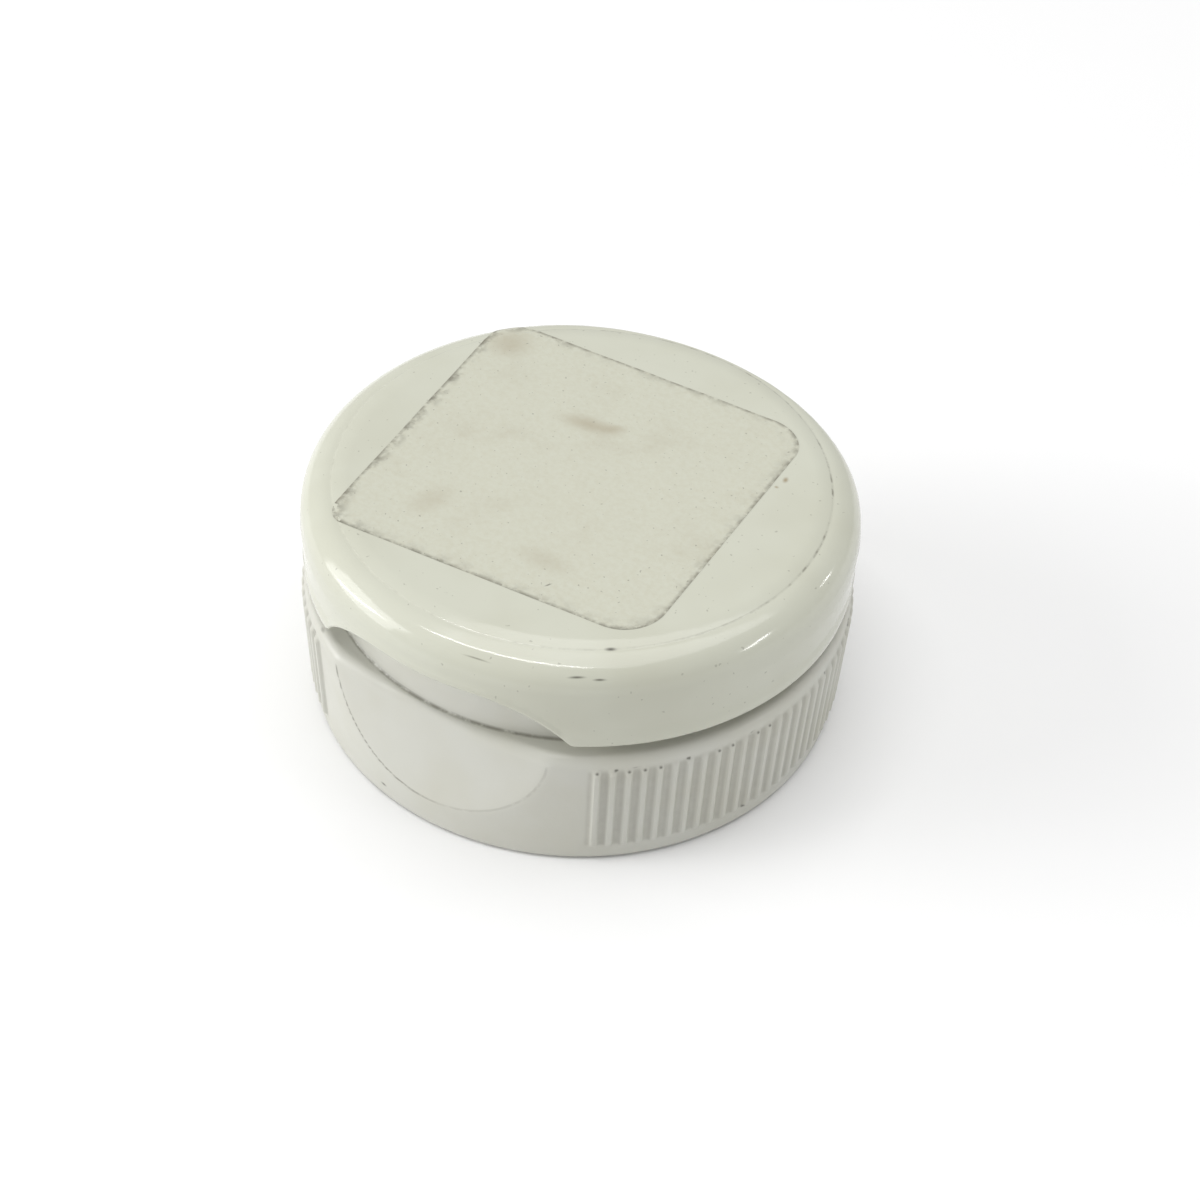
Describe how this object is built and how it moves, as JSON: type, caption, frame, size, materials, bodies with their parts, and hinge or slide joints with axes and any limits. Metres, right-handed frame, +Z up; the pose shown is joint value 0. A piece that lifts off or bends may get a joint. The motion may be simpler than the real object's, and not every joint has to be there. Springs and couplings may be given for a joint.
{
  "type": "flip top bottle closure",
  "caption": "Round flip-top screw closure for a 38 mm bottle neck: ribbed base with a thumb scoop, hinged domed lid and a bare paper label.",
  "frame": {"origin": "on the closure's axis, at the middle of the open bottom rim", "axes": "+Z up along the axis towards the lid, -Y towards the thumb scoop, +Y towards the hinge"},
  "size_m": [0.0422, 0.0418, 0.019],
  "materials": {
    "base": "satin off-white polypropylene",
    "lid": "glossy off-white polypropylene",
    "hinge": "satin off-white polypropylene",
    "label": "worn, slightly soiled paper"
  },
  "bodies": {
    "base": {"base": "base", "hinge": "hinge"},
    "lid": {"lid": "lid", "label": "label"}
  },
  "joints": [
    {"name": "lid_hinge", "type": "hinge", "parent": "base", "child": "lid", "pos_m": [0, 0.02025, 0.0114], "axis": [-1, 0, 0], "range_deg": [0, 180], "deforming": ["hinge"]}
  ]
}
